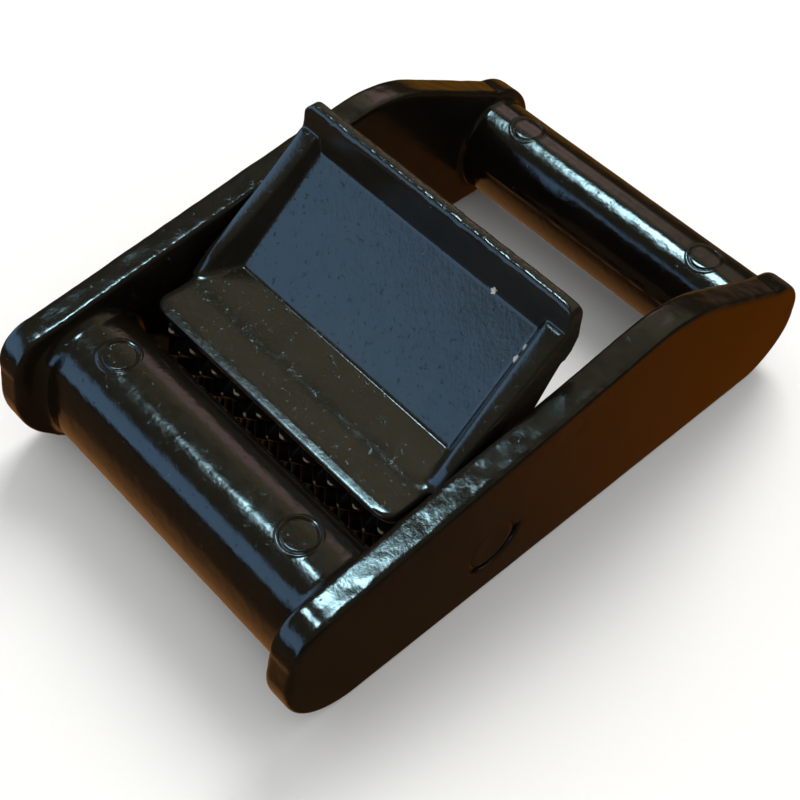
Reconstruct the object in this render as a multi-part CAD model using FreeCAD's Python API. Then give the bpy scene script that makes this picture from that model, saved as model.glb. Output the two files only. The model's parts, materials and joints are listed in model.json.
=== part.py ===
import FreeCAD, Part
import math
import os

os.makedirs("parts", exist_ok=True)

# Cam buckle for 25 mm webbing: a cast frame, a toothed cam lever on a pressed-in steel pin,
# and two torsion springs. Millimetres, +Z up, X along the pin, the front (clamping) bar at -Y.
# The frame's flat bottom is Z = 0.

# frame casting
PLATE_OUTER_X = 15.85        # half of the width over the side plates
PLATE_INNER_X = 13.5         # half of the clear width between them
PLATE_EDGE_R = 0.35          # rounding of the plates' outer edges
FRONT_ROOT_R = 0.55          # fillet where the front bar runs into the plates
REAR_ROOT_R = 0.35           # the rear bar sits closer to its plates' rounded ends
MARK_R = 1.42                # ejector-pin marks on both bars
MARK_X = 9.5

# pin and its bores
PIN_Y = -8.0
PIN_Z = 5.65
PIN_R = 2.0
PIN_HALF_L = 15.7
FRAME_BORE_R = 1.99          # press fit
CAM_BORE_R = 2.06            # running fit

# cam lever casting
LIP_X = 12.35                # half width of the lip and the toothed barrel
LIP_Y = -14.9                # front edge of the lip
RIM_OUT_X = 12.95            # half width over the tray's rims
RIM_IN_X = 10.75             # half width of the tray floor
RIM_TOP_X = 11.85            # inner edge of a rim's top
CORNER_R = 1.1               # rounding of the lip's front corners and the rear wall's top corners
POCKET_X = 10.9              # spring pockets reach in to here
POCKET_R = 4.4
TRAY_FLOOR_T = 1.5           # casting thickness under the tray floor
WALL_BACK_Y = 0.72

# teeth: diamond pyramids in staggered rows round the barrel
TOOTH_PITCH = 2.5
TOOTH_COUNT = 10
TOOTH_ROWS = 6
TOOTH_TOP_DEG = 157.4        # direction of the first row seen from the pin
TOOTH_ROW_DEG = 10.4
TOOTH_TIP_R = 6.95           # tip radius of the first row
TOOTH_TIP_FALL = 0.17        # each row's tips are this much nearer the pin
TOOTH_H = 0.95

# torsion springs
WIRE_R = 0.3
COIL_R = 2.65
COIL_TURNS = 2
COIL_AXIAL = 1.8             # from the first to the last wire centre
COIL_INNER_X = 11.3          # the coil starts here, next to the pocket floor
CAM_LEG_DEG = 100.0
CAM_LEG_R = 3.45
FRAME_LEG_DEG = -40.0
FRAME_LEG_R = 5.9


def vec(x, y, z):
    return FreeCAD.Vector(x, y, z)


def polar(radius, degrees, x=0.0):
    a = math.radians(degrees)
    return vec(x, PIN_Y + radius * math.cos(a), PIN_Z + radius * math.sin(a))


def yz_line(a, b):
    return Part.makeLine(vec(0, a[0], a[1]), vec(0, b[0], b[1]))


def yz_arc(a, m, b):
    return Part.Arc(vec(0, a[0], a[1]), vec(0, m[0], m[1]), vec(0, b[0], b[1])).toShape()


def extrude_profile(edges, x0, x1):
    face = Part.Face(Part.Wire(Part.__sortEdges__(edges)))
    face.translate(vec(x0, 0, 0))
    return face.extrude(vec(x1 - x0, 0, 0))


def polygon_solid(points, x0, x1):
    wire = Part.makePolygon([vec(0, y, z) for y, z in points + points[:1]])
    face = Part.Face(wire)
    face.translate(vec(x0, 0, 0))
    return face.extrude(vec(x1 - x0, 0, 0))


def x_cylinder(radius, x0, x1, y=PIN_Y, z=PIN_Z):
    return Part.makeCylinder(radius, x1 - x0, vec(x0, y, z), vec(1, 0, 0))


def mirrored(shape):
    return shape.mirror(vec(0, 0, 0), vec(1, 0, 0))


def plate_edges():
    """Side plate outline: straight top rising to the rear, rounded ends, flat bottom."""
    return [
        yz_line((-22.6, 11.71), (6.0, 16.23)),
        yz_arc((6.0, 16.23), (9.8, 15.98), (13.2, 14.7)),
        yz_line((13.2, 14.7), (21.6, 10.45)),
        yz_arc((21.6, 10.45), (24.7, 8.75), (25.9, 5.8)),
        yz_arc((25.9, 5.8), (25.25, 1.95), (22.2, 0.0)),
        yz_line((22.2, 0.0), (-20.6, 0.0)),
        yz_arc((-20.6, 0.0), (-24.4, 2.0), (-25.9, 6.2)),
        yz_line((-25.9, 6.2), (-25.6, 8.6)),
        yz_arc((-25.6, 8.6), (-24.75, 10.85), (-22.6, 11.71)),
    ]


def make_plate():
    plate = extrude_profile(plate_edges(), PLATE_INNER_X, PLATE_OUTER_X)
    rims = []
    for edge in plate.Edges:
        box = edge.BoundBox
        if box.XMax - box.XMin < 0.01:
            rims.append(edge)
    return plate.makeFillet(PLATE_EDGE_R, rims)


FRONT_BAR = [(-21.0, 10.88), (-19.9, 11.0), (-18.7, 10.96), (-17.4, 10.5), (-16.35, 9.5), (-15.8, 8.1),
             (-15.5, 6.2), (-15.65, 4.4), (-15.95, 2.8), (-16.65, 1.5), (-18.0, 0.85), (-19.8, 0.7),
             (-21.6, 0.85), (-22.8, 1.6), (-23.55, 2.9), (-23.85, 4.6), (-23.85, 6.2), (-23.65, 7.8),
             (-23.2, 9.3), (-22.3, 10.3)]
REAR_BAR = [(20.3, 9.55), (21.1, 9.6), (22.0, 9.5), (23.5, 8.75), (24.5, 7.3), (24.75, 5.5), (24.4, 3.7),
            (23.3, 2.1), (22.0, 1.35), (21.1, 1.25), (20.2, 1.4), (18.8, 2.4), (17.95, 4.2), (17.7, 6.0),
            (18.1, 7.6), (19.0, 8.85)]


def grown(points, amount):
    """The section's points moved outwards; the points run clockwise seen from +X."""
    out = []
    n = len(points)
    for i in range(n):
        ay, az = points[i - 1]
        by, bz = points[(i + 1) % n]
        ty, tz = by - ay, bz - az
        length = math.hypot(ty, tz)
        out.append((points[i][0] - tz / length * amount, points[i][1] + ty / length * amount))
    return out


def closed_wire(points, x):
    curve = Part.BSplineCurve()
    curve.interpolate(Points=[vec(x, y, z) for y, z in points], PeriodicFlag=True)
    return Part.Wire([curve.toShape()])


def make_bar(section, root_r):
    """A bar between the plates, flaring into each of them with a quarter-round root."""
    straight = PLATE_INNER_X - root_r
    face = Part.Face(closed_wire(section, -straight))
    bar = face.extrude(vec(2 * straight, 0, 0))
    wires = []
    for i in range(5):
        a = math.radians(22.5 * i)
        x = straight + root_r * math.sin(a)
        wires.append(closed_wire(grown(section, root_r * (1 - math.cos(a))), x))
    flare = Part.makeLoft(wires, True, False)
    foot = Part.Face(wires[-1]).extrude(vec(0.5, 0, 0))
    return bar.fuse([flare, foot, mirrored(flare), mirrored(foot)])


def make_frame():
    plate = make_plate()
    bars = [make_bar(FRONT_BAR, FRONT_ROOT_R), make_bar(REAR_BAR, REAR_ROOT_R)]
    frame = plate.fuse([mirrored(plate)] + bars)
    marks = []
    for x in (-MARK_X, MARK_X):
        marks.append(Part.makeCylinder(MARK_R, 1.5, vec(x, -19.7, 9.54)))
        marks.append(Part.makeCylinder(MARK_R, 1.5, vec(x, 21.3, 8.07)))
    frame = frame.fuse(marks).removeSplitter()
    cuts = [x_cylinder(FRAME_BORE_R, -20, 20)]
    leg = polar(FRAME_LEG_R, FRAME_LEG_DEG)
    for x0, x1 in ((PLATE_INNER_X - 0.5, PLATE_INNER_X + 1.3), (-PLATE_INNER_X - 1.3, 0.5 - PLATE_INNER_X)):
        cuts.append(x_cylinder(WIRE_R + 0.15, x0, x1, leg.y, leg.z))
    return frame.cut(cuts)


def make_pin():
    pin = x_cylinder(PIN_R, -PIN_HALF_L, PIN_HALF_L)
    rims = [e for e in pin.Edges if e.BoundBox.XMax - e.BoundBox.XMin < 0.01]
    return pin.makeChamfer(0.2, rims)


def tooth_base_radius(degrees):
    rows = (degrees - TOOTH_TOP_DEG) / TOOTH_ROW_DEG
    return TOOTH_TIP_R - TOOTH_H - TOOTH_TIP_FALL * rows


def barrel_points():
    """The toothed face of the barrel, from under the lip round to its lower end."""
    start = TOOTH_TOP_DEG - TOOTH_ROW_DEG
    points = []
    for i in range(TOOTH_ROWS + 2):
        degrees = start + i * TOOTH_ROW_DEG
        p = polar(tooth_base_radius(degrees), degrees)
        points.append((p.y, p.z))
    return points


def make_tooth(row, column):
    """One diamond pyramid, sunk into the barrel so that neighbours share a valley."""
    degrees = TOOTH_TOP_DEG + row * TOOTH_ROW_DEG
    base_r = tooth_base_radius(degrees) - 0.25
    tip_r = base_r + 0.25 + TOOTH_H
    shift = 0.5 * (row % 2)
    x = (column - 0.5 * (TOOTH_COUNT - 1) + shift) * TOOTH_PITCH
    half_x = 0.5 * TOOTH_PITCH * 1.12
    half_deg = TOOTH_ROW_DEG * 1.12
    corners = [
        polar(base_r, degrees, x - half_x),
        polar(base_r, degrees - half_deg, x),
        polar(base_r, degrees, x + half_x),
        polar(base_r, degrees + half_deg, x),
    ]
    root = polar(base_r - 1.2, degrees, x)
    tip = polar(tip_r, degrees, x)
    faces = []
    for i in range(4):
        a, b = corners[i], corners[(i + 1) % 4]
        faces.append(Part.Face(Part.makePolygon([a, b, tip, a])))
        faces.append(Part.Face(Part.makePolygon([a, b, root, a])))
    solid = Part.Solid(Part.Shell(faces))
    if solid.Volume < 0:
        solid.reverse()
    return solid


def make_teeth():
    teeth = []
    for row in range(TOOTH_ROWS):
        for column in range(TOOTH_COUNT - row % 2):
            teeth.append(make_tooth(row, column))
    return teeth


def make_barrel():
    """Lip strip, toothed barrel and hub as one block, with the lever's underside behind."""
    strip = [(LIP_Y, 10.65), (LIP_Y + 0.1, 10.3), (-13.9, 9.6), (-13.0, 9.2)]
    hub = []
    for degrees in range(240, 375, 15):
        p = polar(4.25, degrees)
        hub.append((p.y, p.z))
    behind = [(-4.2, 7.5), (-3.7, 9.6), (-7.0, 10.9), (-7.96, 11.16), (-11.2, 11.06), (-14.6, 10.9)]
    return polygon_solid(strip + barrel_points() + hub + behind, -LIP_X, LIP_X)


def tray_floor_points():
    dy, dz = 7.23, 6.84
    n = math.hypot(dy, dz)
    oy, oz = TRAY_FLOOR_T * dz / n, -TRAY_FLOOR_T * dy / n
    return [(-7.96, 11.16), (-0.73, 18.0), (-0.73 + oy, 18.0 + oz), (-7.96 + oy, 11.16 + oz - 1.2),
            (-9.5, 9.0)]


def make_rear_wall():
    points = [(-1.2, 17.2), (-0.73, 18.0), (-0.5, 20.75), (-0.3, 21.05), (0.35, 21.1), (0.62, 20.8),
              (WALL_BACK_Y + 0.05, 18.0), (0.4, 16.95), (-0.2, 16.2)]
    return polygon_solid(points, -RIM_OUT_X, RIM_OUT_X)


def rim_points():
    """Side outline of a rim and the web below it."""
    return [(-11.2, 10.9), (-9.75, 12.3), (-8.2, 13.4), (-0.55, 19.25), (WALL_BACK_Y, 19.2),
            (WALL_BACK_Y + 0.05, 17.9), (0.31, 17.0), (-0.63, 15.7), (-1.79, 13.6), (-3.4, 10.5),
            (-4.1, 8.0), (-9.0, 9.0)]


def make_rim_cutter():
    """Wedge over the tray floor whose sides give the rims their draft."""
    sections = []
    for y, z, up in ((-14.0, 5.44, 3.2), (4.0, 22.47, 3.2)):
        ny, nz = -math.sin(math.radians(43.4)), math.cos(math.radians(43.4))
        low = [vec(-RIM_IN_X, y, z), vec(RIM_IN_X, y, z)]
        wide = RIM_IN_X + (RIM_TOP_X - RIM_IN_X) * up / 2.0
        high = [vec(wide, y + ny * up, z + nz * up), vec(-wide, y + ny * up, z + nz * up)]
        points = low + high
        sections.append(Part.makePolygon(points + points[:1]))
    return Part.makeLoft(sections, True, True)


def corner_cutter(x, axis, low, high, start):
    """What rounds a right-hand corner whose sides are at x and at low or high along the other axis."""
    if axis == "z":
        box = Part.makeBox(CORNER_R + 1, CORNER_R + 1, high, vec(x - CORNER_R, low - 1, start))
        core = Part.makeCylinder(CORNER_R, high, vec(x - CORNER_R, low + CORNER_R, start), vec(0, 0, 1))
    else:
        box = Part.makeBox(CORNER_R + 1, high, CORNER_R + 1, vec(x - CORNER_R, start, low - CORNER_R))
        core = Part.makeCylinder(CORNER_R, high, vec(x - CORNER_R, start, low - CORNER_R), vec(0, 1, 0))
    return box.cut(core)


def make_cam_lever():
    barrel = make_barrel()
    floor = polygon_solid(tray_floor_points(), -RIM_OUT_X + 0.3, RIM_OUT_X - 0.3)
    rim = polygon_solid(rim_points(), RIM_IN_X - 0.4, RIM_OUT_X)
    wedge = make_rim_cutter()
    behind_guard = polygon_solid([(-0.73, 17.5), (-0.5, 22.5), (5, 24), (5, 15)], -30, 30)
    wedge = wedge.cut([behind_guard])
    right = rim.cut(wedge)
    lever = barrel.fuse([floor, right, mirrored(right), make_rear_wall()])
    lever = lever.fuse(make_teeth())
    pocket = x_cylinder(POCKET_R, POCKET_X, 14.0)
    cuts = [pocket, mirrored(pocket), x_cylinder(CAM_BORE_R, -20, 20)]
    lip_corner = corner_cutter(LIP_X, "z", LIP_Y, 2.0, 9.4)
    wall_corner = corner_cutter(RIM_OUT_X, "y", 21.1, 4.0, -1.3)
    cuts += [lip_corner, mirrored(lip_corner), wall_corner, mirrored(wall_corner)]
    hole = polar(CAM_LEG_R, CAM_LEG_DEG)
    cuts.append(x_cylinder(WIRE_R + 0.15, POCKET_X - 1.6, POCKET_X + 0.5, hole.y, hole.z))
    cuts.append(x_cylinder(WIRE_R + 0.15, -POCKET_X - 0.5, 1.6 - POCKET_X, hole.y, hole.z))
    lever = lever.cut(cuts)
    return lever.removeSplitter()


def wire_rod(a, b):
    d = b - a
    return Part.makeCylinder(0.97 * WIRE_R, d.Length, a, d)


def make_spring():
    """Right spring: a leg hooked in the cam, the coil, and a leg hooked in the plate."""
    sweep = 360.0 * COIL_TURNS + (FRAME_LEG_DEG - CAM_LEG_DEG) % 360.0
    first, last = CAM_LEG_DEG + 35.0, CAM_LEG_DEG + sweep - 62.0
    coil = []
    steps = 30 * COIL_TURNS
    for i in range(steps + 1):
        t = i / steps
        coil.append(polar(COIL_R, first + (last - first) * t, COIL_INNER_X + COIL_AXIAL * t))
    curve = Part.BSplineCurve()
    curve.interpolate(coil)
    ring = Part.Wire([Part.makeCircle(WIRE_R, coil[0], curve.tangent(curve.FirstParameter)[0])])
    body = Part.Wire([curve.toShape()]).makePipeShell([ring], True, True)
    far_x = COIL_INNER_X + COIL_AXIAL
    cam_bend = polar(CAM_LEG_R, CAM_LEG_DEG, COIL_INNER_X)
    frame_bend = polar(FRAME_LEG_R, FRAME_LEG_DEG, far_x)
    rods = [wire_rod(coil[0], cam_bend), wire_rod(coil[-1], frame_bend)]
    rods.append(wire_rod(cam_bend, polar(CAM_LEG_R, CAM_LEG_DEG, POCKET_X - 1.2)))
    rods.append(wire_rod(frame_bend, polar(FRAME_LEG_R, FRAME_LEG_DEG, PLATE_INNER_X + 1.1)))
    bends = [Part.makeSphere(1.04 * WIRE_R, p) for p in (coil[0], coil[-1], cam_bend, frame_bend)]
    return body.fuse(rods + bends)


def save(shape, node):
    shape.exportStep("parts/" + node + ".step")


right_spring = make_spring()
save(make_frame(), "frame")
save(make_cam_lever(), "cam_lever")
save(make_pin(), "pivot_pin")
save(right_spring, "spring_right")
save(mirrored(right_spring), "spring_left")
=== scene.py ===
import json
import math

import bmesh
import bpy
import numpy as np
from mathutils import Matrix, Vector, noise


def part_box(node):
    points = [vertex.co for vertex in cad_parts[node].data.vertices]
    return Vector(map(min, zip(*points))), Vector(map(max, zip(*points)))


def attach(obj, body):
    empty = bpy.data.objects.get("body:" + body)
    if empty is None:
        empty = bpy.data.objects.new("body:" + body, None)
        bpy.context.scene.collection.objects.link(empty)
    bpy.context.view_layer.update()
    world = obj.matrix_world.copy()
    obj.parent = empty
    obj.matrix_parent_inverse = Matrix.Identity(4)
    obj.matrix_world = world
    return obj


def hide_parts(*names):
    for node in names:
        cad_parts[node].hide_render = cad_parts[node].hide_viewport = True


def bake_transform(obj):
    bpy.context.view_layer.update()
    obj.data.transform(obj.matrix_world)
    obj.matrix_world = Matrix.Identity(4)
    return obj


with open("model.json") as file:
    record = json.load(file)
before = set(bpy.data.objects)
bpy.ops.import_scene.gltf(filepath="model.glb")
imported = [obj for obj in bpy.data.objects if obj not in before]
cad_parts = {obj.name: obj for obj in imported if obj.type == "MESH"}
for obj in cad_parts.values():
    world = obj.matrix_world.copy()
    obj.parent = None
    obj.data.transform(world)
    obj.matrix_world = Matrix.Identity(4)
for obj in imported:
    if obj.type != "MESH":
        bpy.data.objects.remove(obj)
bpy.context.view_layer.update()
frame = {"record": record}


def box_mm(node):
    """Lowest and highest corner of a CAD node at rest, in millimetres."""
    return [[1000 * v for v in corner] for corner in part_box(node)]


# Cam buckle for 25 mm webbing. Shapes are built in millimetres in the frame's own axes
# (X along the pin, front bar at -Y, Z up) and brought to metres when a piece is finished.
MM = 0.001
HINGE = [1000 * v for v in frame["record"]["behaviour"]["joints"][0]["pos_m"]]
FRAME_LOW, FRAME_HIGH = box_mm("frame")
CAM_LOW, CAM_HIGH = box_mm("cam_lever")

# pin and its bores
PIN_Y, PIN_Z = HINGE[1], HINGE[2]
PIN_R = 2.0
PIN_END_X = box_mm("pivot_pin")[1][0]
LEVER_BORE_R = 2.06

# frame casting
PLATE_T = 2.35
OUTER_X = FRAME_HIGH[0]
INNER_X = OUTER_X - PLATE_T
PLATE_EDGE_R = 0.35
FRONT_ROOT_R = 0.85          # flare of the front bar into the plates
REAR_ROOT_R = 0.45
ROOT_SINK = 0.6              # the flares end this deep inside the plates

# ejector-pin marks on both bars
MARK_X = 9.5
MARK_DISC_R = 1.12
MARK_GROOVE_R = 1.36
MARK_BURR_R = 1.62

# cam lever casting
RIM_OUT_X = CAM_HIGH[0]
LIP_X = RIM_OUT_X - 0.6
RIM_IN_X = RIM_OUT_X - 2.2
RIM_TOP_X = RIM_OUT_X - 1.1
RIM_EDGE_R = 0.4
LIP_Y = -14.9                # front edge of the lip
LIP_UNDERSIDE_Z = 9.4
WALL_TOP_Z = 21.08
CORNER_R = 1.1               # lip's front corners and the rear wall's top corners
POCKET_X = 10.9              # the spring pockets reach in to here
POCKET_R = 4.4
TRAY_FLOOR_T = 1.5
TRAY_SLOPE_DEG = 43.4

# torsion springs
WIRE_R = 0.3
COIL_R = 2.65
COIL_START_X = 11.3
COIL_AXIAL = 1.8
COIL_TURNS = 2
LEVER_LEG_DEG = 100.0
FRAME_LEG_DEG = -40.0
FRAME_LEG_R = 5.9

# grain of the remeshed castings
FRAME_VOXEL = 0.14
LEVER_VOXEL = 0.12


# ---------------------------------------------------------------- outlines (y, z) in mm

def arc(a, m, b, steps):
    """Points on the circle through a, m and b, from a to just before b."""
    ax, ay = a
    bx, by = m
    cx, cy = b
    d = 2 * (ax * (by - cy) + bx * (cy - ay) + cx * (ay - by))
    a2, b2, c2 = ax * ax + ay * ay, bx * bx + by * by, cx * cx + cy * cy
    ux = (a2 * (by - cy) + b2 * (cy - ay) + c2 * (ay - by)) / d
    uy = (a2 * (cx - bx) + b2 * (ax - cx) + c2 * (bx - ax)) / d
    r = math.hypot(ax - ux, ay - uy)
    t0 = math.atan2(ay - uy, ax - ux)
    t1 = math.atan2(by - uy, bx - ux)
    t2 = math.atan2(cy - uy, cx - ux)
    turn = 2 * math.pi
    if (t1 - t0) % turn < (t2 - t0) % turn:
        span = (t2 - t0) % turn
    else:
        span = -((t0 - t2) % turn)
    return [(ux + r * math.cos(t0 + span * i / steps), uy + r * math.sin(t0 + span * i / steps))
            for i in range(steps)]


def line(a, b, steps):
    """Points on the straight run from a to just before b."""
    return [(a[0] + (b[0] - a[0]) * i / steps, a[1] + (b[1] - a[1]) * i / steps) for i in range(steps)]


def catmull(p0, p1, p2, p3, t):
    """Catmull-Rom spline between p1 and p2."""
    out = []
    for a, b, c, d in zip(p0, p1, p2, p3):
        out.append(0.5 * (2 * b + (c - a) * t + (2 * a - 5 * b + 4 * c - d) * t * t
                          + (3 * b - a - 3 * c + d) * t ** 3))
    return tuple(out)


def closed_curve(points, steps):
    """Smooth loop through the points."""
    n = len(points)
    out = []
    for i in range(n):
        for k in range(steps):
            out.append(catmull(points[i - 1], points[i], points[(i + 1) % n], points[(i + 2) % n],
                               k / steps))
    return out


def open_curve(points, steps):
    """Smooth run through the points, from the first to just before the last."""
    padded = [points[0]] + list(points) + [points[-1]]
    out = []
    for i in range(len(points) - 1):
        for k in range(steps):
            out.append(catmull(padded[i], padded[i + 1], padded[i + 2], padded[i + 3], k / steps))
    return out


def grown(points, amount):
    """Moves a clockwise (y, z) loop outwards along its own normals."""
    p = np.array(points)
    tangent = np.roll(p, -1, axis=0) - np.roll(p, 1, axis=0)
    tangent /= np.linalg.norm(tangent, axis=1)[:, None]
    return [tuple(q) for q in p + amount * np.stack([-tangent[:, 1], tangent[:, 0]], axis=1)]


def polar(radius, degrees):
    """The (y, z) point at this radius and direction from the pin's axis."""
    a = math.radians(degrees)
    return (PIN_Y + radius * math.cos(a), PIN_Z + radius * math.sin(a))


# ---------------------------------------------------------------- solids

def new_object(name, verts, faces):
    mesh = bpy.data.meshes.new(name)
    mesh.from_pydata([tuple(v) for v in verts], [], faces)
    bm = bmesh.new()
    bm.from_mesh(mesh)
    bmesh.ops.recalc_face_normals(bm, faces=bm.faces)
    bm.to_mesh(mesh)
    bm.free()
    obj = bpy.data.objects.new(name, mesh)
    bpy.context.scene.collection.objects.link(obj)
    return obj


def loft(name, rings):
    """Closed solid through rings of equal length, capped at both ends."""
    n = len(rings[0])
    verts = [p for ring in rings for p in ring]
    faces = []
    for r in range(len(rings) - 1):
        for i in range(n):
            j = (i + 1) % n
            faces.append((r * n + i, r * n + j, (r + 1) * n + j, (r + 1) * n + i))
    faces.append(tuple(range(n)))
    faces.append(tuple((len(rings) - 1) * n + i for i in range(n)))
    return new_object(name, verts, faces)


def at_x(loop, x):
    return [(x, y, z) for y, z in loop]


def prism(loop, x0, x1, edge=0.0):
    """Extrusion along X; edge rounds its two outlines."""
    rings = []
    for i in range(4 if edge else 0):
        a = math.radians(90 * i / 4)
        rings.append(at_x(grown(loop, edge * (math.sin(a) - 1)), x0 + edge * (1 - math.cos(a))))
    rings.append(at_x(loop, x0 + edge))
    rings.append(at_x(loop, x1 - edge))
    for i in range(3 if edge else -1, -1, -1):
        a = math.radians(90 * i / 4)
        rings.append(at_x(grown(loop, edge * (math.sin(a) - 1)), x1 - edge * (1 - math.cos(a))))
    return loft("prism", rings)


def corner_drop(x, half, radius):
    """How far a corner of this radius has fallen away at x, near the ends of +-half."""
    t = max(0.0, abs(x) - (half - radius))
    return radius - math.sqrt(max(0.0, radius * radius - t * t))


def shaped_prism(loop, half, radius, shape):
    """Extrusion from -half to half whose points shape(y, z, drop) moves near the rounded ends."""
    ends = [half - radius * (1 - math.sin(math.radians(9 * i))) for i in range(11)]
    xs = [-x for x in reversed(ends)] + ends
    rings = []
    for x in xs:
        drop_here = corner_drop(x, half, radius)
        rings.append([(x, *shape(y, z, drop_here)) for y, z in loop])
    return loft("prism", rings)


def x_cylinder(radius, x0, x1, y=PIN_Y, z=PIN_Z):
    """Cutter along X."""
    loop = [(y + radius * math.cos(a), z - radius * math.sin(a))
            for a in np.linspace(0, 2 * math.pi, 96, endpoint=False)]
    return loft("cylinder", [at_x(loop, x0), at_x(loop, x1)])


def drop(obj):
    """Removes a helper solid."""
    mesh = obj.data
    bpy.data.objects.remove(obj)
    bpy.data.meshes.remove(mesh)


def bake(obj):
    """Applies the object's modifiers."""
    graph = bpy.context.evaluated_depsgraph_get()
    mesh = bpy.data.meshes.new_from_object(obj.evaluated_get(graph))
    old = obj.data
    obj.modifiers.clear()
    obj.data = mesh
    bpy.data.meshes.remove(old)


def cut(obj, cutters):
    """Takes the cutters' shapes out of a solid."""
    for cutter in cutters:
        m = obj.modifiers.new("cut", "BOOLEAN")
        m.operation = "DIFFERENCE"
        m.solver = "MANIFOLD"
        m.object = cutter
    bake(obj)
    return obj


def casting(name, parts, voxel, smooth):
    """Melts closed parts into one skin with softened edges, as thick paint leaves a casting."""
    bm = bmesh.new()
    for part in parts:
        bm.from_mesh(part.data)
        drop(part)
    mesh = bpy.data.meshes.new(name)
    bm.to_mesh(mesh)
    bm.free()
    obj = bpy.data.objects.new(name, mesh)
    bpy.context.scene.collection.objects.link(obj)
    m = obj.modifiers.new("skin", "REMESH")
    m.mode = "VOXEL"
    m.voxel_size = voxel
    m = obj.modifiers.new("soften", "SMOOTH")
    m.factor = 0.5
    m.iterations = smooth
    bake(obj)
    return obj


def points_of(obj):
    """Every vertex's place and normal, as two arrays."""
    n = len(obj.data.vertices)
    co = np.empty(3 * n, np.float32)
    obj.data.vertices.foreach_get("co", co)
    no = np.empty(3 * n, np.float32)
    obj.data.vertex_normals.foreach_get("vector", no)
    return co.reshape(-1, 3).astype(float), no.reshape(-1, 3).astype(float)


def set_points(obj, co):
    obj.data.vertices.foreach_set("co", co.astype(np.float32).ravel())
    obj.data.update()


def keep_inside(co, low, high):
    """Holds the points a hair inside a CAD node's box."""
    np.clip(co, np.array(low) + 0.002, np.array(high) - 0.002, out=co)


def noise_at(co, scale, offset=0.0, mask=None):
    """Smooth noise of about -1 to 1; scale is features per mm along each axis."""
    out = np.zeros(len(co))
    p = co * np.array(scale) + offset
    for i in (range(len(co)) if mask is None else np.nonzero(mask)[0]):
        out[i] = noise.noise(Vector(p[i]))
    return out


def finish_piece(obj, body, slot, material, *nodes):
    co, _ = points_of(obj)
    set_points(obj, co * MM)
    obj.data.polygons.foreach_set("use_smooth", [True] * len(obj.data.polygons))
    obj.data.materials.clear()
    obj.data.materials.append(material)
    if body:
        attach(obj, body)
    if nodes:
        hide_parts(*nodes)
    return obj


# ---------------------------------------------------------------- materials

class Graph:
    """Wires nodes of one tree; a value is a socket, a number or a colour tuple."""

    def __init__(self, tree):
        self.nodes = tree.nodes
        self.links = tree.links

    def ranged(self, value, a, b, low, high, kind="LINEAR"):
        node = self.nodes.new("ShaderNodeMapRange")
        node.interpolation_type = kind
        node.inputs["From Min"].default_value = a
        node.inputs["From Max"].default_value = b
        node.inputs["To Min"].default_value = low
        node.inputs["To Max"].default_value = high
        self.links.new(value, node.inputs["Value"])
        return node.outputs["Result"]

    def math(self, operation, a, b):
        node = self.nodes.new("ShaderNodeMath")
        node.operation = operation
        for socket, v in zip(node.inputs, (a, b)):
            if isinstance(v, (int, float)):
                socket.default_value = v
            else:
                self.links.new(v, socket)
        return node.outputs["Value"]

    def blended(self, factor, a, b):
        node = self.nodes.new("ShaderNodeMix")
        node.data_type = "RGBA"
        sockets = [s for s in node.inputs if s.type == "RGBA"]
        for socket, v in zip(sockets, (a, b)):
            if isinstance(v, tuple):
                socket.default_value = (*v, 1.0)
            else:
                self.links.new(v, socket)
        self.links.new(factor, node.inputs["Factor"])
        return [s for s in node.outputs if s.type == "RGBA"][0]


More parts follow.
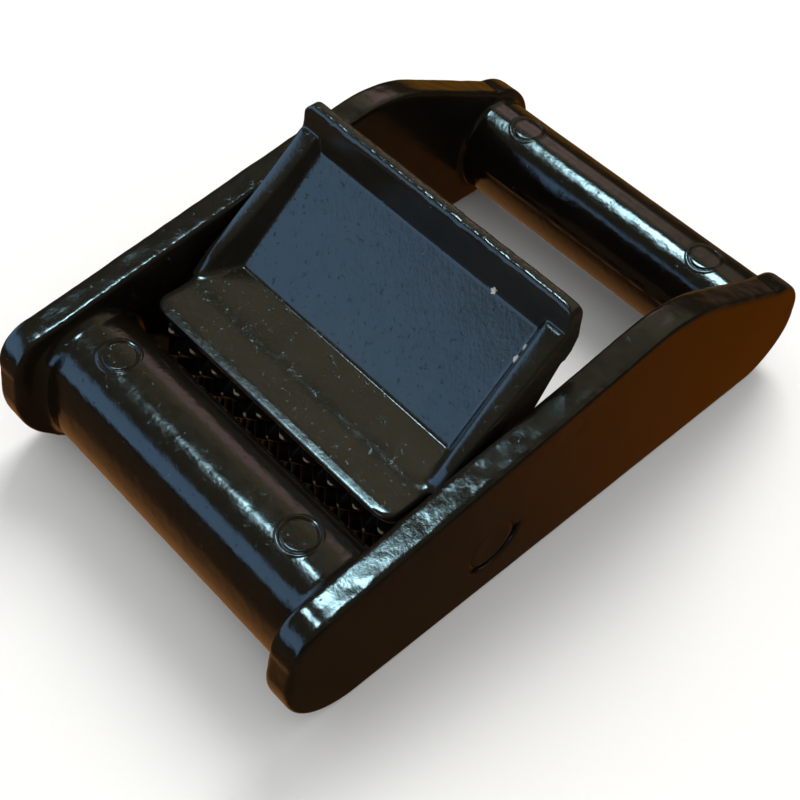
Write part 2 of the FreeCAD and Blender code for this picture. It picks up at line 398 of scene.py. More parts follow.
class Paint(Graph):
    """A material on object coordinates in millimetres."""

    def __init__(self, name):
        self.material = bpy.data.materials.new(name)
        self.material.use_nodes = True
        super().__init__(self.material.node_tree)
        self.shader = self.nodes["Principled BSDF"]
        coords = self.nodes.new("ShaderNodeTexCoord")
        scale = self.nodes.new("ShaderNodeVectorMath")
        scale.operation = "SCALE"
        scale.inputs["Scale"].default_value = 1000.0
        self.links.new(coords.outputs["Object"], scale.inputs[0])
        self.mm = scale.outputs["Vector"]

    def stretched(self, x, y, z):
        """Coordinates scaled along each axis."""
        node = self.nodes.new("ShaderNodeVectorMath")
        node.operation = "MULTIPLY"
        node.inputs[1].default_value = (x, y, z)
        self.links.new(self.mm, node.inputs[0])
        return node.outputs["Vector"]

    def noise(self, scale, detail=2.0, rough=0.5, vector=None):
        node = self.nodes.new("ShaderNodeTexNoise")
        node.inputs["Scale"].default_value = scale
        node.inputs["Detail"].default_value = detail
        node.inputs["Roughness"].default_value = rough
        self.links.new(vector or self.mm, node.inputs["Vector"])
        return node.outputs["Fac"]

    def spots(self, scale, radius, share):
        """1 inside small round spots that a share of the cells carry, else 0."""
        node = self.nodes.new("ShaderNodeTexVoronoi")
        node.inputs["Scale"].default_value = scale
        self.links.new(self.mm, node.inputs["Vector"])
        near = self.ranged(node.outputs["Distance"], radius, radius * 0.4, 0.0, 1.0)
        split = self.nodes.new("ShaderNodeSeparateColor")
        self.links.new(node.outputs["Color"], split.inputs["Color"])
        chosen = self.ranged(split.outputs["Red"], share, share - 0.01, 0.0, 1.0)
        return self.math("MULTIPLY", near, chosen)

    def distance(self, place):
        """Millimetres from a place on the part."""
        node = self.nodes.new("ShaderNodeVectorMath")
        node.operation = "DISTANCE"
        node.inputs[1].default_value = place
        self.links.new(self.mm, node.inputs[0])
        return node.outputs["Value"]

    def distance_from_pin(self):
        """Millimetres from the pin's axis."""
        shifted = self.nodes.new("ShaderNodeVectorMath")
        shifted.operation = "MULTIPLY_ADD"
        shifted.inputs[1].default_value = (0.0, 1.0, 1.0)
        shifted.inputs[2].default_value = (0.0, -PIN_Y, -PIN_Z)
        self.links.new(self.mm, shifted.inputs[0])
        node = self.nodes.new("ShaderNodeVectorMath")
        node.operation = "LENGTH"
        self.links.new(shifted.outputs["Vector"], node.inputs[0])
        return node.outputs["Value"]

    def along(self, first, second, a, b):
        """Coordinates along two directions, scaled by a and b, for a brushed grain."""
        joined = self.nodes.new("ShaderNodeCombineXYZ")
        for socket, direction, scale in (("X", first, a), ("Y", second, b)):
            node = self.nodes.new("ShaderNodeVectorMath")
            node.operation = "DOT_PRODUCT"
            node.inputs[1].default_value = Vector(direction) * scale
            self.links.new(self.mm, node.inputs[0])
            self.links.new(node.outputs["Value"], joined.inputs[socket])
        return joined.outputs["Vector"]

    def bump(self, height, depth_mm, before=None):
        node = self.nodes.new("ShaderNodeBump")
        node.inputs["Strength"].default_value = 1.0
        node.inputs["Distance"].default_value = depth_mm * MM
        self.links.new(height, node.inputs["Height"])
        if before:
            self.links.new(before, node.inputs["Normal"])
        return node.outputs["Normal"]


DUST = (0.30, 0.28, 0.24)
BARE_METAL = (0.50, 0.50, 0.46)
# Light warm colour of the teeth's tips: rubbed metal, and a painted highlight for their glints.
WORN_TIP_AND_GLINT = (0.40, 0.35, 0.24)
PAINT_IOR = 1.52


def gloss_paint(name, body, shade, peel, grain, pits, chips=(), glint_and_wear_radius=0.0):
    """Black gloss enamel over a die casting: orange peel, fine grain, pinholes and dust.

    peel and grain are bump depths in mm, and more pits means more pinholes. chips are bare
    spots as (place, radius); past the last argument's distance from the pin the colour is painted
    lighter, as rubbed-off metal and as a painted highlight for the tips' glints. A nonzero last
    argument also makes the whole paint duller and less mirroring, as painted shade.
    """
    t = Paint(name)
    patches = t.ranged(t.noise(0.35, 3.0), 0.35, 0.65, 0.0, 1.0)
    colour = t.blended(patches, body, shade)
    dust = t.spots(1.35, 0.055, 0.12)
    colour = t.blended(dust, colour, DUST)
    ragged = t.ranged(t.noise(5.0, 2.0), 0.2, 0.8, -0.14, 0.14)
    for place, radius in chips:
        bare = t.ranged(t.math("ADD", t.distance(place), ragged), radius, radius - 0.05, 0.0, 1.0)
        colour = t.blended(bare, colour, BARE_METAL)
        dust = t.math("MAXIMUM", dust, bare)
    rough = t.ranged(t.noise(1.1, 3.0), 0.3, 0.7, 0.10, 0.19)
    rough = t.math("ADD", rough, t.math("MULTIPLY", dust, 0.4))
    # Painted highlight: past this radius from the pin the tips are painted a light warm colour for their
    # glints, as well as rubbed-off metal.
    if glint_and_wear_radius:
        uneven = t.ranged(t.noise(3.0, 2.0), 0.2, 0.8, -0.08, 0.08)
        reach = t.math("ADD", t.distance_from_pin(), uneven)
        colour = t.blended(t.ranged(reach, glint_and_wear_radius, glint_and_wear_radius + 0.06, 0.0, 1.0), colour, WORN_TIP_AND_GLINT)
        # Painted shade: this setting also makes the whole paint duller and less mirroring, for the teeth
        # that sit in shade under the lip.
        rough = t.math("ADD", rough, 0.22)
        t.shader.inputs["Specular IOR Level"].default_value = 0.10
    t.links.new(colour, t.shader.inputs["Base Color"])
    t.links.new(rough, t.shader.inputs["Roughness"])
    t.shader.inputs["IOR"].default_value = PAINT_IOR
    normal = t.bump(t.noise(0.8, 2.0), peel)
    normal = t.bump(t.noise(3.6, 3.0, 0.6), grain, normal)
    if chips:
        brushed = t.along((0.656, -0.557, -0.526), (0.766, 0.477, 0.451), 0.9, 4.5)
        normal = t.bump(t.noise(1.0, 2.0, 0.5, brushed), 0.0045, normal)
    hollow = t.ranged(t.noise(2.2, 3.0, 0.6), 0.70 - pits, 0.78 - pits, 0.0, -1.0)
    normal = t.bump(hollow, 0.014, normal)
    t.links.new(normal, t.shader.inputs["Normal"])
    return t.material


def steel(name, tone):
    """Drawn steel: dull bright metal with fine scratches and darker oily patches."""
    t = Paint(name)
    patches = t.ranged(t.noise(0.9, 4.0), 0.35, 0.7, 0.0, 1.0)
    colour = t.blended(patches, tone, tuple(0.55 * v for v in tone))
    t.links.new(colour, t.shader.inputs["Base Color"])
    t.shader.inputs["Metallic"].default_value = 1.0
    streaks = t.noise(1.0, 3.0, 0.6, t.stretched(0.6, 14.0, 14.0))
    t.links.new(t.ranged(streaks, 0.3, 0.7, 0.24, 0.42), t.shader.inputs["Roughness"])
    t.links.new(t.bump(streaks, 0.006), t.shader.inputs["Normal"])
    return t.material


TRAY_CHIPS = (((6.6, -0.72, 18.1), 0.24), ((10.8, -1.9, 16.95), 0.22), ((10.8, -2.6, 16.3), 0.26))
FRAME_PAINT = gloss_paint("frame_black_enamel", (0.0038, 0.0030, 0.0018), (0.0060, 0.0044, 0.0024),
                          0.028, 0.011, 0.04)
LEVER_PAINT = gloss_paint("lever_black_enamel", (0.0085, 0.0075, 0.0050), (0.0120, 0.0105, 0.0070),
                          0.010, 0.010, 0.07, chips=TRAY_CHIPS)
# The teeth's enamel is a darker, duller copy of the lever's: painted shade for the teeth under the lip.
# Past 6.70 mm from the pin its tips are painted lighter, as rubbed metal and as a painted highlight for
# their glints.
TEETH_PAINT_SHADED = gloss_paint("teeth_black_enamel", (0.0030, 0.0028, 0.0022), (0.0050, 0.0045, 0.0034),
                          0.012, 0.005, 0.02, glint_and_wear_radius=6.70)
PIN_STEEL = steel("pin_drawn_steel", (0.50, 0.49, 0.47))
SPRING_STEEL = steel("spring_wire_steel", (0.56, 0.56, 0.57))


# ---------------------------------------------------------------- frame casting

def plate_outline():
    """Side plate: long sloping top, rounded ends, flat bottom."""
    loop = line((-22.6, 11.71), (6.0, 16.23), 60)
    loop += arc((6.0, 16.23), (9.8, 15.98), (13.2, 14.7), 18)
    loop += line((13.2, 14.7), (21.6, 10.45), 20)
    loop += arc((21.6, 10.45), (24.7, 8.75), (25.9, 5.8), 18)
    loop += arc((25.9, 5.8), (25.25, 1.95), (22.2, 0.0), 18)
    loop += line((22.2, 0.0), (-20.6, 0.0), 80)
    loop += arc((-20.6, 0.0), (-24.4, 2.0), (-25.9, 6.2), 18)
    loop += line((-25.9, 6.2), (-25.6, 8.6), 6)
    loop += arc((-25.6, 8.6), (-24.75, 10.85), (-22.6, 11.71), 14)
    return loop


FRONT_BAR = [(-21.0, 10.88), (-19.9, 11.0), (-18.7, 10.96), (-17.4, 10.5), (-16.35, 9.5), (-15.8, 8.1),
             (-15.5, 6.2), (-15.65, 4.4), (-15.95, 2.8), (-16.65, 1.5), (-18.0, 0.85), (-19.8, 0.7),
             (-21.6, 0.85), (-22.8, 1.6), (-23.55, 2.9), (-23.85, 4.6), (-23.85, 6.2), (-23.65, 7.8),
             (-23.2, 9.3), (-22.3, 10.3)]
REAR_BAR = [(20.3, 9.55), (21.1, 9.6), (22.0, 9.5), (23.5, 8.75), (24.5, 7.3), (24.75, 5.5), (24.4, 3.7),
            (23.3, 2.1), (22.0, 1.35), (21.1, 1.25), (20.2, 1.4), (18.8, 2.4), (17.95, 4.2), (17.7, 6.0),
            (18.1, 7.6), (19.0, 8.85)]
FRONT_MARK = (-19.7, 10.93)
REAR_MARK = (21.1, 9.5)
PARTING_LINES = [(-16.25, 9.3, 0.07, 0.16), (-23.2, 4.4, 0.08, 0.18),      # (y, z, height, width)
                 (17.72, 6.2, 0.10, 0.18), (24.55, 6.2, 0.08, 0.18)]


def bar(section, root):
    """A bar between the plates that flares into each of them."""
    loop = closed_curve(section, 10)
    inside = INNER_X + ROOT_SINK
    rings = [at_x(grown(loop, root), -inside)]
    steps = [math.radians(90 * i / 6) for i in range(7)]
    for a in reversed(steps):
        rings.append(at_x(grown(loop, root * (1 - math.cos(a))), -(INNER_X - root + root * math.sin(a))))
    for a in steps:
        rings.append(at_x(grown(loop, root * (1 - math.cos(a))), INNER_X - root + root * math.sin(a)))
    rings.append(at_x(grown(loop, root), inside))
    return loft("bar", rings)


def refine_marks(obj):
    """Splits the faces round the ejector marks, so that their grooves come out clean."""
    bm = bmesh.new()
    bm.from_mesh(obj.data)
    chosen = []
    for edge in bm.edges:
        x, y, z = (edge.verts[0].co + edge.verts[1].co) / 2
        for y0, z0 in (FRONT_MARK, REAR_MARK):
            if z > z0 - 1.5 and math.hypot(abs(x) - MARK_X, y - y0) < 1.7:
                chosen.append(edge)
    bmesh.ops.subdivide_edges(bm, edges=chosen, cuts=2, use_grid_fill=True)
    bm.to_mesh(obj.data)
    bm.free()


def press_marks(co, mark, side):
    """Ejector-pin mark: a flat disc cut into the round bar, with a groove and a burr around it."""
    y0, z0 = mark
    r = np.hypot(co[:, 0] - side * MARK_X, co[:, 1] - y0)
    top = co[:, 2] > z0 - 2.5
    disc = top & (r < MARK_DISC_R)
    tilt = 0.03 * (co[:, 0] - side * MARK_X)
    flat = np.minimum(co[:, 2], z0 + tilt)
    co[disc, 2] = (0.4 * flat + 0.6 * co[:, 2])[disc]
    groove = top & (r >= MARK_DISC_R) & (r < MARK_GROOVE_R)
    depth = 0.12 * np.sin(np.pi * (r - MARK_DISC_R) / (MARK_GROOVE_R - MARK_DISC_R)) ** 2
    co[groove, 2] -= depth[groove]
    burr = top & (r >= MARK_GROOVE_R) & (r < MARK_BURR_R)
    height = 0.05 * np.sin(np.pi * (r - MARK_GROOVE_R) / (MARK_BURR_R - MARK_GROOVE_R))
    co[burr, 2] += height[burr]


def parting_line(co, no, y0, z0, height, width):
    """Thin ridge of flash along a bar."""
    d = np.hypot(co[:, 1] - y0, co[:, 2] - z0)
    near = (d < 3 * width) & (np.abs(co[:, 0]) < INNER_X - 0.2)
    wobble = 0.7 + 0.5 * noise_at(co, (0.7, 0, 0), 3.1, near)
    amount = height * np.exp(-(d / width) ** 2) * np.clip(wobble, 0.2, 1.3)
    co[near] += (no * amount[:, None])[near]


def crescent(side):
    """Staking groove that follows the lower part of the pin's end."""
    angles = np.linspace(-138, 8, 40)
    outer = [polar(2.54 + 0.10 * ((a + 65) / 73) ** 2, a) for a in angles]
    inner = [polar(1.9, a) for a in angles]
    loop = outer + inner[::-1]
    return loft("crescent", [at_x(loop, side * (OUTER_X - 0.55)), at_x(loop, side * 18)])


def make_plates():
    cutters = [x_cylinder(PIN_R, -20, 20)]
    leg = polar(FRAME_LEG_R, FRAME_LEG_DEG)
    for side in (-1, 1):
        cutters.append(crescent(side))
        cutters.append(x_cylinder(0.45, side * (INNER_X - 0.5), side * (INNER_X + 1.3), *leg))
    plates = [cut(prism(plate_outline(), x0, x1, PLATE_EDGE_R), cutters)
              for x0, x1 in ((INNER_X, OUTER_X), (-OUTER_X, -INNER_X))]
    for cutter in cutters:
        drop(cutter)
    return plates


def make_frame_casting():
    bars = [bar(FRONT_BAR, FRONT_ROOT_R), bar(REAR_BAR, REAR_ROOT_R)]
    obj = casting("frame_casting", make_plates() + bars, FRAME_VOXEL, 3)
    refine_marks(obj)
    co, no = points_of(obj)
    for line_of_flash in PARTING_LINES:
        parting_line(co, no, *line_of_flash)
    for side in (-1, 1):
        press_marks(co, FRONT_MARK, side)
        press_marks(co, REAR_MARK, side)
    wave = 0.012 * noise_at(co, (0.35, 0.35, 0.35), 1.7)
    edge_top = (np.abs(co[:, 0]) > INNER_X - 0.3) & (no[:, 2] > 0.4) & (co[:, 2] > 6.0)
    ripple = 0.030 * noise_at(co, (1.1, 0.75, 0.9), 7.3, edge_top)
    ripple += 0.005 * noise_at(co, (2.6, 1.7, 2.0), 2.3, edge_top)
    between = np.abs(co[:, 0]) < INNER_X - 0.3
    dimple = 0.008 * noise_at(co, (1.3, 1.3, 1.3), 5.9, between)
    co += no * (wave + ripple + dimple)[:, None]
    keep_inside(co, FRAME_LOW, FRAME_HIGH)
    set_points(obj, co)
    return finish_piece(obj, "frame", "frame_paint", FRAME_PAINT, "frame")


# ---------------------------------------------------------------- cam lever

TOOTH_PITCH = 2.5
TOOTH_COUNT = 10
TOOTH_ROWS = 6
TOOTH_TOP_DEG = 157.4        # direction of the first row seen from the pin
TOOTH_ROW_DEG = 10.4
TOOTH_TIP_R = 6.95
TOOTH_TIP_FALL = 0.17        # each row's tips are this much nearer the pin
TOOTH_H = 0.95
TOOTH_BLUNT = 0.012
TOOTH_CAP_Y, TOOTH_CAP_Z = -14.42, 8.12      # the first row's tips are worn down to here


def tooth_base_radius(degrees):
    rows = (degrees - TOOTH_TOP_DEG) / TOOTH_ROW_DEG
    return TOOTH_TIP_R - TOOTH_H - TOOTH_TIP_FALL * rows


def barrel_outline():
    """Lip's front edge, toothed front, spring side and the lip's top with its faint crease."""
    loop = [(LIP_Y, 10.82), (-14.88, 10.35), (-14.4, 9.95), (-13.9, 9.6), (-13.0, 9.2)]
    start = TOOTH_TOP_DEG - TOOTH_ROW_DEG
    last = start + (TOOTH_ROWS + 1) * TOOTH_ROW_DEG
    for degrees in np.linspace(start, last, 40):
        loop.append(polar(tooth_base_radius(degrees) - 0.1, degrees))
    for degrees in np.linspace(240, 375, 40):
        loop.append(polar(4.25, degrees))
    loop += open_curve([(-4.0, 7.2), (-3.7, 9.6), (-7.0, 10.9)], 6)
    loop += [(-7.0, 10.9), (-7.96, 11.16)]
    loop += line((-8.0, 11.158), (-10.6, 11.1), 3)[1:]
    loop += open_curve([(-10.6, 11.1), (-11.3, 11.065), (-11.9, 10.99), (-12.5, 10.97)], 3)
    loop += line((-12.5, 10.97), (-14.84, 10.92), 4)
    return loop


def rim_outline():
    """Side view of a rim, from its foot on the lip up to the rear wall and down behind it."""
    loop = [(-11.25, 10.85)]
    loop += open_curve([(-11.2, 10.95), (-10.6, 11.5), (-9.75, 12.32), (-8.2, 13.4), (-5.0, 15.75),
                        (-2.3, 17.95), (-1.5, 18.6), (-1.0, 18.95), (-0.5, 19.1)], 5)
    loop += open_curve([(0.7, 17.9), (0.31, 17.0), (-0.63, 15.7), (-1.79, 13.6), (-3.4, 10.5),
                        (-4.1, 8.0)], 5)
    loop += [(-4.1, 8.0), (-9.0, 9.0)]
    return loop


def wall_outline():
    """Section of the tray's rear wall."""
    return [(-1.2, 17.2), (-0.73, 18.0), (-0.5, 20.6), (-0.42, 20.85), (-0.2, 21.05), (0.35, 21.08),
            (0.55, 20.9), (0.62, 20.6), (0.77, 18.0), (0.4, 16.95), (-0.2, 16.2)]


def floor_outline():
    """Section of the sloping tray floor."""
    dy, dz = 7.23, 6.84
    n = math.hypot(dy, dz)
    oy, oz = TRAY_FLOOR_T * dz / n, -TRAY_FLOOR_T * dy / n
    return [(-7.96, 11.16), (-0.73, 18.0), (-0.73 + oy, 18.0 + oz), (-7.96 + oy, 11.16 + oz - 1.2),
            (-9.5, 9.0)]


def rim_wedge():
    """Space over the tray floor; its leaning sides are the rims' draft."""
    slope = math.radians(TRAY_SLOPE_DEG)
    ny, nz = -math.sin(slope), math.cos(slope)
    up = 3.2
    wide = RIM_IN_X + (RIM_TOP_X - RIM_IN_X) * up / 2.0
    rings = []
    for y, z in ((-14.0, 5.44), (4.0, 22.47)):
        rings.append([(-RIM_IN_X, y, z), (RIM_IN_X, y, z), (wide, y + ny * up, z + nz * up),
                      (-wide, y + ny * up, z + nz * up)])
    return loft("wedge", rings)


def soften_rims(obj):
    """The rims' tops are rounder than the other edges."""
    co, _ = points_of(obj)
    above = (co[:, 2] - 11.16) * 7.26 - (co[:, 1] + 7.96) * 6.85
    chosen = np.nonzero((above > 7.0) & (np.abs(co[:, 0]) > RIM_IN_X + 0.2) & (co[:, 1] < -1.05))[0]
    group = obj.vertex_groups.new(name="rims")
    group.add([int(i) for i in chosen], 1.0, "REPLACE")
    m = obj.modifiers.new("rims", "SMOOTH")
    m.factor = 0.5
    m.iterations = 42
    m.vertex_group = "rims"
    bake(obj)
    obj.vertex_groups.clear()


def round_lip(y, z, fall):
    return (max(y, LIP_Y + fall), z) if z > LIP_UNDERSIDE_Z else (y, z)


def round_wall(y, z, fall):
    return (y, min(z, WALL_TOP_Z - fall))


def make_lever_casting():
    wedge = rim_wedge()
    bore = x_cylinder(LEVER_BORE_R, -20, 20)
    pockets = [x_cylinder(POCKET_R, side * POCKET_X, side * 14.0) for side in (-1, 1)]
    barrel = cut(shaped_prism(barrel_outline(), LIP_X, CORNER_R, round_lip), pockets + [bore])
    rim_foot = RIM_IN_X - 0.4
    rims = [cut(prism(rim_outline(), x0, x1, RIM_EDGE_R), [wedge] + pockets + [bore])
            for x0, x1 in ((rim_foot, RIM_OUT_X), (-RIM_OUT_X, -rim_foot))]
    floor = prism(floor_outline(), 0.3 - RIM_OUT_X, RIM_OUT_X - 0.3)
    wall = shaped_prism(wall_outline(), RIM_OUT_X, CORNER_R, round_wall)
    for cutter in pockets + [wedge, bore]:
        drop(cutter)
    obj = casting("cam_lever_casting", [barrel, floor, wall] + rims, LEVER_VOXEL, 2)
    soften_rims(obj)
    co, no = points_of(obj)
    crest = co[:, 2] > 20.75
    ragged = 0.05 * noise_at(co, (1.2, 0.3, 0.3), 4.4, crest)
    ragged += 0.03 * noise_at(co, (3.4, 1.5, 1.5), 8.8, crest)
    co[:, 2] += np.where(crest, ragged, 0.0)
    wave = 0.008 * noise_at(co, (0.4, 0.4, 0.4), 9.1)
    lip = (co[:, 1] < -10.8) & (no[:, 2] > -0.2) & (co[:, 2] > 9.5)
    wave += np.where(lip, 0.005 * noise_at(co, (1.3, 1.3, 1.3), 6.2, lip), 0.0)
    co += no * wave[:, None]
    keep_inside(co, CAM_LOW, CAM_HIGH)
    set_points(obj, co)
    return finish_piece(obj, "cam", "lever_paint", LEVER_PAINT, "cam_lever")


def tooth_heights(angles, xs):
    """Height of the staggered diamond pyramids over the barrel, for each angle and x."""
    height = np.zeros((len(angles), len(xs)))
    for row in range(TOOTH_ROWS):
        degrees = TOOTH_TOP_DEG + row * TOOTH_ROW_DEG
        for column in range(TOOTH_COUNT - row % 2):
            x0 = (column - 0.5 * (TOOTH_COUNT - 1) + 0.5 * (row % 2)) * TOOTH_PITCH
            u = np.sqrt(((xs - x0) / (0.5 * TOOTH_PITCH)) ** 2 + TOOTH_BLUNT)[None, :]
            v = np.sqrt(((angles - degrees) / TOOTH_ROW_DEG) ** 2 + TOOTH_BLUNT)[:, None]
            height = np.maximum(height, TOOTH_H * 1.1 * (1.13 - u - v))
    return height


def shell_faces(rows, cols):
    """Two grids of rows by cols points, one after the other, joined round their edges."""
    inner = rows * cols
    faces = []
    for base in (0, inner):
        for i in range(rows - 1):
            for j in range(cols - 1):
                k = base + i * cols + j
                faces.append((k, k + 1, k + cols + 1, k + cols))
    for i in range(rows - 1):
        for k in (i * cols, i * cols + cols - 1):
            faces.append((k, k + cols, k + cols + inner, k + inner))
    for j in range(cols - 1):
        for k in (j, (rows - 1) * cols + j):
            faces.append((k, k + 1, k + 1 + inner, k + inner))
    return faces


def make_teeth():
    """The toothed skin of the barrel, as one closed shell sunk into it."""
    xs = np.linspace(-LIP_X + 0.02, LIP_X - 0.02, 330)
    angles = np.linspace(TOOTH_TOP_DEG - 0.92 * TOOTH_ROW_DEG,
                         TOOTH_TOP_DEG + (TOOTH_ROWS - 0.3) * TOOTH_ROW_DEG, 110)
    height = tooth_heights(angles, xs)
    verts = []
    for i, degrees in enumerate(angles):
        base = tooth_base_radius(degrees)
        a = math.radians(degrees)
        for j, x in enumerate(xs):
            r = base + height[i, j] - 0.02
            r += 0.012 * noise.noise(Vector((1.4 * x, 0.2 * degrees, 0.0)))
            y = PIN_Y + r * math.cos(a)
            cap = TOOTH_CAP_Z + 0.30 * (y - TOOTH_CAP_Y) + 0.03 * noise.noise(Vector((0.9 * x, 0.0, 3.0)))
            verts.append((x, y, min(PIN_Z + r * math.sin(a), cap)))
    for degrees in angles:
        y, z = polar(tooth_base_radius(degrees) - 0.9, degrees)
        verts += [(x, y, z) for x in xs]
    obj = new_object("cam_teeth", verts, shell_faces(len(angles), len(xs)))
    # Painted shade: the teeth wear the darker, duller copy of the enamel.
    return finish_piece(obj, "cam", "lever_paint", TEETH_PAINT_SHADED)


# ---------------------------------------------------------------- pin and springs

def turned(name, profile, y0, z0, steps=96):
    """Solid turned about an X axis from a profile of (x, radius)."""
    rings = []
    for x, r in profile:
        rings.append([(x, y0 + r * math.cos(a), z0 + r * math.sin(a))
                      for a in np.linspace(0, 2 * math.pi, steps, endpoint=False)])
    return loft(name, rings)


def make_pin():
    """The pin's shank, and its painted ends that dome slightly out of the plates."""
    ramp = [(12.0, PIN_R - 0.005), (13.6, PIN_R), (14.9, PIN_R), (15.0, PIN_R - 0.1)]
    profile = [(-x, r) for x, r in reversed(ramp)] + [(0.0, PIN_R)] + ramp
    shank = turned("pin_shank", profile, PIN_Y, PIN_Z)
    finish_piece(shank, "frame", "pin_steel", PIN_STEEL, "pivot_pin")
    for side, word in ((-1, "left"), (1, "right")):
        dome = [(0.02, 2.02), (0.06, 1.99), (0.085, 1.9), (0.09, 1.6), (0.08, 1.2), (0.05, 0.7),
                (0.04, 0.25)]
        profile = [(14.95, 1.9), (15.0, 2.02)] + [(PIN_END_X + out, r) for out, r in dome]
        head = turned("pin_end_" + word, [(side * x, r) for x, r in profile], PIN_Y, PIN_Z)
        finish_piece(head, "frame", "frame_paint", FRAME_PAINT)


def spring_path(side):
    """A leg in the lever, two turns and more round the pin, and a leg in the plate."""
    sweep = COIL_TURNS * 360.0 + (FRAME_LEG_DEG - LEVER_LEG_DEG) % 360.0
    y, z = polar(3.45, LEVER_LEG_DEG)
    path = [(x, y, z) for x in (POCKET_X - 1.2, POCKET_X - 0.4, COIL_START_X - 0.15)]
    path.append((COIL_START_X, *polar(3.3, 112.0)))
    first, last = 135.0, LEVER_LEG_DEG + sweep - 62.0
    for i in range(121):
        t = i / 120
        path.append((COIL_START_X + COIL_AXIAL * t, *polar(COIL_R, first + (last - first) * t)))
    far = COIL_START_X + COIL_AXIAL
    for radius, degrees, x in ((3.7, -58.0, far), (5.0, -46.0, far), (5.8, -41.0, far + 0.1),
                               (FRAME_LEG_R, FRAME_LEG_DEG, far + 0.5),
                               (FRAME_LEG_R, FRAME_LEG_DEG, INNER_X + 1.1)):
        path.append((x, *polar(radius, degrees)))
    return [Vector((side * x, y, z)) for x, y, z in open_curve(path, 3) + [path[-1]]]


def make_spring(side, word):
    """Round wire along the spring's path, with slightly tapered ends."""
    path = spring_path(side)
    normal = Vector((0, 0, 1))
    rings = []
    for i, p in enumerate(path):
        tangent = (path[min(i + 1, len(path) - 1)] - path[max(i - 1, 0)]).normalized()
        normal = (normal - tangent * normal.dot(tangent)).normalized()
        other = tangent.cross(normal)
        shrink = 0.75 if i in (0, len(path) - 1) else 1.0
        rings.append([tuple(p + shrink * WIRE_R * (normal * math.cos(a) + other * math.sin(a)))
                      for a in np.linspace(0, 2 * math.pi, 14, endpoint=False)])
    obj = loft("spring_wire_" + word, rings)
    finish_piece(obj, None, "spring_steel", SPRING_STEEL, "spring_" + word)
    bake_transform(obj)


make_frame_casting()
make_lever_casting()
make_teeth()
make_pin()
make_spring(-1, "left")
make_spring(1, "right")


# ---------------------------------------------------------------- floor, light and camera

def make_floor():
    t = Paint("pale_floor")
    t.shader.inputs["Base Color"].default_value = (0.80, 0.795, 0.785, 1.0)
    t.shader.inputs["Roughness"].default_value = 0.7
    t.shader.inputs["Specular IOR Level"].default_value = 0.2
    mesh = bpy.data.meshes.new("floor")
    s = 1.5
    mesh.from_pydata([(-s, -s, 0), (s, -s, 0), (s, s, 0), (-s, s, 0)], [], [(0, 1, 2, 3)])
    mesh.materials.append(t.material)
    obj = bpy.data.objects.new("floor", mesh)
    obj.visible_glossy = False
    bpy.context.scene.collection.objects.link(obj)


def soft_light(name, direction, distance, size, radiance, colour):
    """Area light of a given radiance, facing the buckle and not mirrored in its gloss."""
    lamp = bpy.data.lights.new(name, "AREA")
    lamp.shape = "RECTANGLE"
    lamp.size, lamp.size_y = size
    lamp.energy = radiance * math.pi * size[0] * size[1]
    lamp.color = colour
    obj = bpy.data.objects.new(name, lamp)
    d = Vector(direction).normalized()
    obj.location = d * distance + Vector((0, 0, 0.008))
    obj.rotation_euler = d.to_track_quat("Z", "Y").to_euler()
    obj.visible_glossy = False
    bpy.context.scene.collection.objects.link(obj)


class Sky(Graph):
    """The world's nodes; x, y and z are the direction looked at."""

    def __init__(self, world):
        world.use_nodes = True
        super().__init__(world.node_tree)
        self.direction = self.nodes.new("ShaderNodeTexCoord").outputs["Generated"]
        split = self.nodes.new("ShaderNodeSeparateXYZ")
        self.links.new(self.direction, split.inputs["Vector"])
        self.x, self.y, self.z = (split.outputs[k] for k in "XYZ")

    def by_height(self, stops):
        """Colours from straight down, at 0, to straight up, at 1."""
        ramp = self.nodes.new("ShaderNodeValToRGB")
        while len(ramp.color_ramp.elements) < len(stops):
            ramp.color_ramp.elements.new(1.0)
        for element, (height, tone) in zip(ramp.color_ramp.elements, stops):
            element.position = height
            element.color = (*tone, 1)
        self.links.new(self.math("ADD", self.math("MULTIPLY", self.z, 0.5), 0.5), ramp.inputs["Fac"])
        return ramp.outputs["Color"]

    def eased(self, value, low, high):
        """Smooth step from 0 at low to 1 at high."""
        return self.ranged(value, low, high, 0.0, 1.0, "SMOOTHSTEP")

    def near(self, direction, core, edge):
        """1 within core degrees of a direction, easing to 0 at edge degrees."""
        return self.eased(self.dot(direction), math.cos(math.radians(edge)), math.cos(math.radians(core)))

    def dot(self, direction):
        node = self.nodes.new("ShaderNodeVectorMath")
        node.operation = "DOT_PRODUCT"
        node.inputs[1].default_value = Vector(direction).normalized()
        self.links.new(self.direction, node.inputs[0])
        return node.outputs["Value"]

    def times(self, first, *others):
        for other in others:
            first = self.math("MULTIPLY", first, other)
        return first


ROOM_STOPS = [(0.0, (0.05, 0.02, 0.006)), (0.40, (0.13, 0.082, 0.05)), (0.49, (0.03, 0.018, 0.010)),
              (0.58, (0.03, 0.022, 0.015)), (0.74, (0.07, 0.06, 0.042))]
FRONT_CEILING = (0.14, 0.135, 0.10)
REAR_CEILING = (0.52, 0.47, 0.32)
GLOWS = [((-0.49, 0.67, 0.56), 3, 11, (1.15, 0.80, 0.78)),
         ((0.24, 0.78, -0.58), 9, 26, (0.21, 0.052, 0.0)),
         ((-0.40, -0.06, -0.90), 10, 34, (0.36, 0.16, 0.055)),
         ((-0.52, 0.84, -0.14), 5, 14, (0.28, 0.12, 0.012))]
WINDOW = (0.72, 1.36, 2.15)
LAMP = (28.0, 46.0, 52.0)
SOFT_FILL = (0.85, 0.85, 0.84)


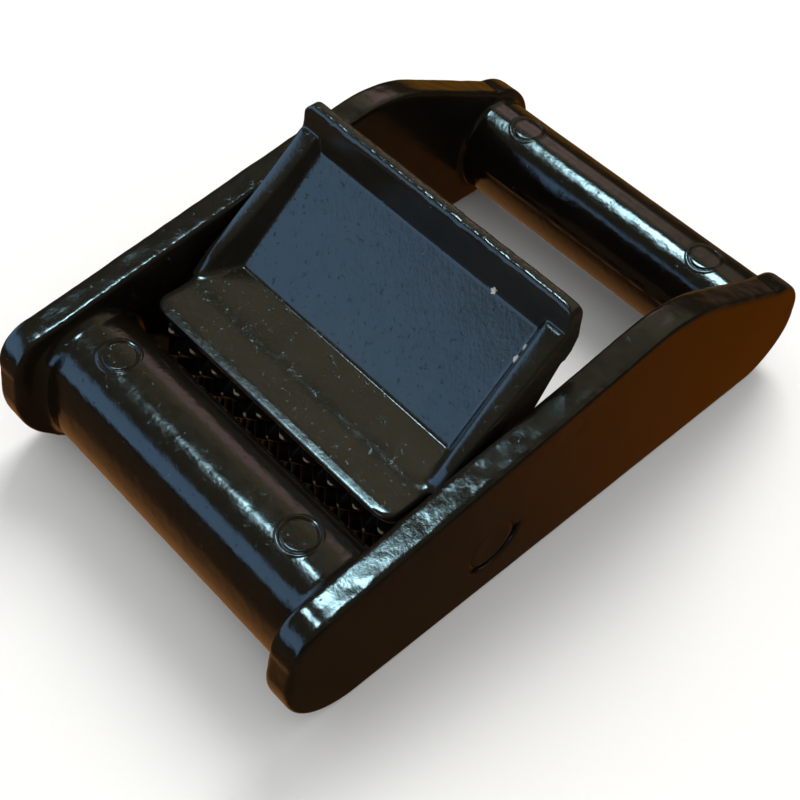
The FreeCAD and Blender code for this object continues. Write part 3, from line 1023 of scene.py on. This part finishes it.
def make_world():
    """Neutral fill light, and a dim room with a window and a lamp that only gloss mirrors."""
    world = bpy.data.worlds.new("studio")
    sky = Sky(world)
    x, y, z = sky.x, sky.y, sky.z
    colour = sky.by_height(ROOM_STOPS)
    ceiling = sky.eased(z, 0.30, 0.70)
    colour = sky.blended(ceiling, colour, FRONT_CEILING)
    colour = sky.blended(sky.times(ceiling, sky.eased(y, 0.20, 0.46)), colour, REAR_CEILING)
    for direction, core, edge, glow in GLOWS:
        colour = sky.blended(sky.near(direction, core, edge), colour, glow)
    pane = sky.times(sky.eased(z, 0.66, 0.55), sky.eased(z, -0.03, 0.12),
                     sky.eased(sky.dot((-0.62, -0.78, 0.0)), 0.45, 0.80))
    colour = sky.blended(pane, colour, WINDOW)
    lamp = sky.times(sky.eased(x, -0.56, -0.33), sky.eased(x, -0.15, -0.28),
                     sky.eased(y, -0.22, -0.05), sky.eased(y, 0.18, 0.0))
    colour = sky.blended(sky.times(lamp, lamp, sky.eased(z, 0.0, 0.3)), colour, LAMP)
    mirrored = sky.nodes.new("ShaderNodeLightPath").outputs["Is Glossy Ray"]
    colour = sky.blended(mirrored, SOFT_FILL, colour)
    sky.links.new(colour, sky.nodes["Background"].inputs["Color"])
    world.cycles.sampling_method = "NONE"
    bpy.context.scene.world = world


CAMERA_MM = (45.02, -50.85, 83.56)
CAMERA_RIGHT = (0.6775, 0.7322, 0.069)
CAMERA_FORWARD = (-0.4228, 0.4646, -0.778)
CAMERA_LENS = 62.02


def make_camera():
    right = Vector(CAMERA_RIGHT).normalized()
    forward = Vector(CAMERA_FORWARD)
    forward = (forward - right * forward.dot(right)).normalized()
    up = right.cross(forward)
    data = bpy.data.cameras.new("camera")
    data.sensor_width = 36.0
    data.lens = CAMERA_LENS
    data.clip_start = 0.005
    obj = bpy.data.objects.new("camera", data)
    turn = Matrix((right, up, -forward)).transposed().to_4x4()
    obj.matrix_world = Matrix.Translation(Vector(CAMERA_MM) * MM) @ turn
    bpy.context.scene.collection.objects.link(obj)
    bpy.context.scene.camera = obj
    bpy.context.scene.view_settings.view_transform = "Standard"


make_floor()
make_world()
soft_light("key_rear_left", (-0.34, 0.56, 0.75), 0.80, (0.40, 0.40), 9.5, (1.0, 0.99, 0.97))
make_camera()
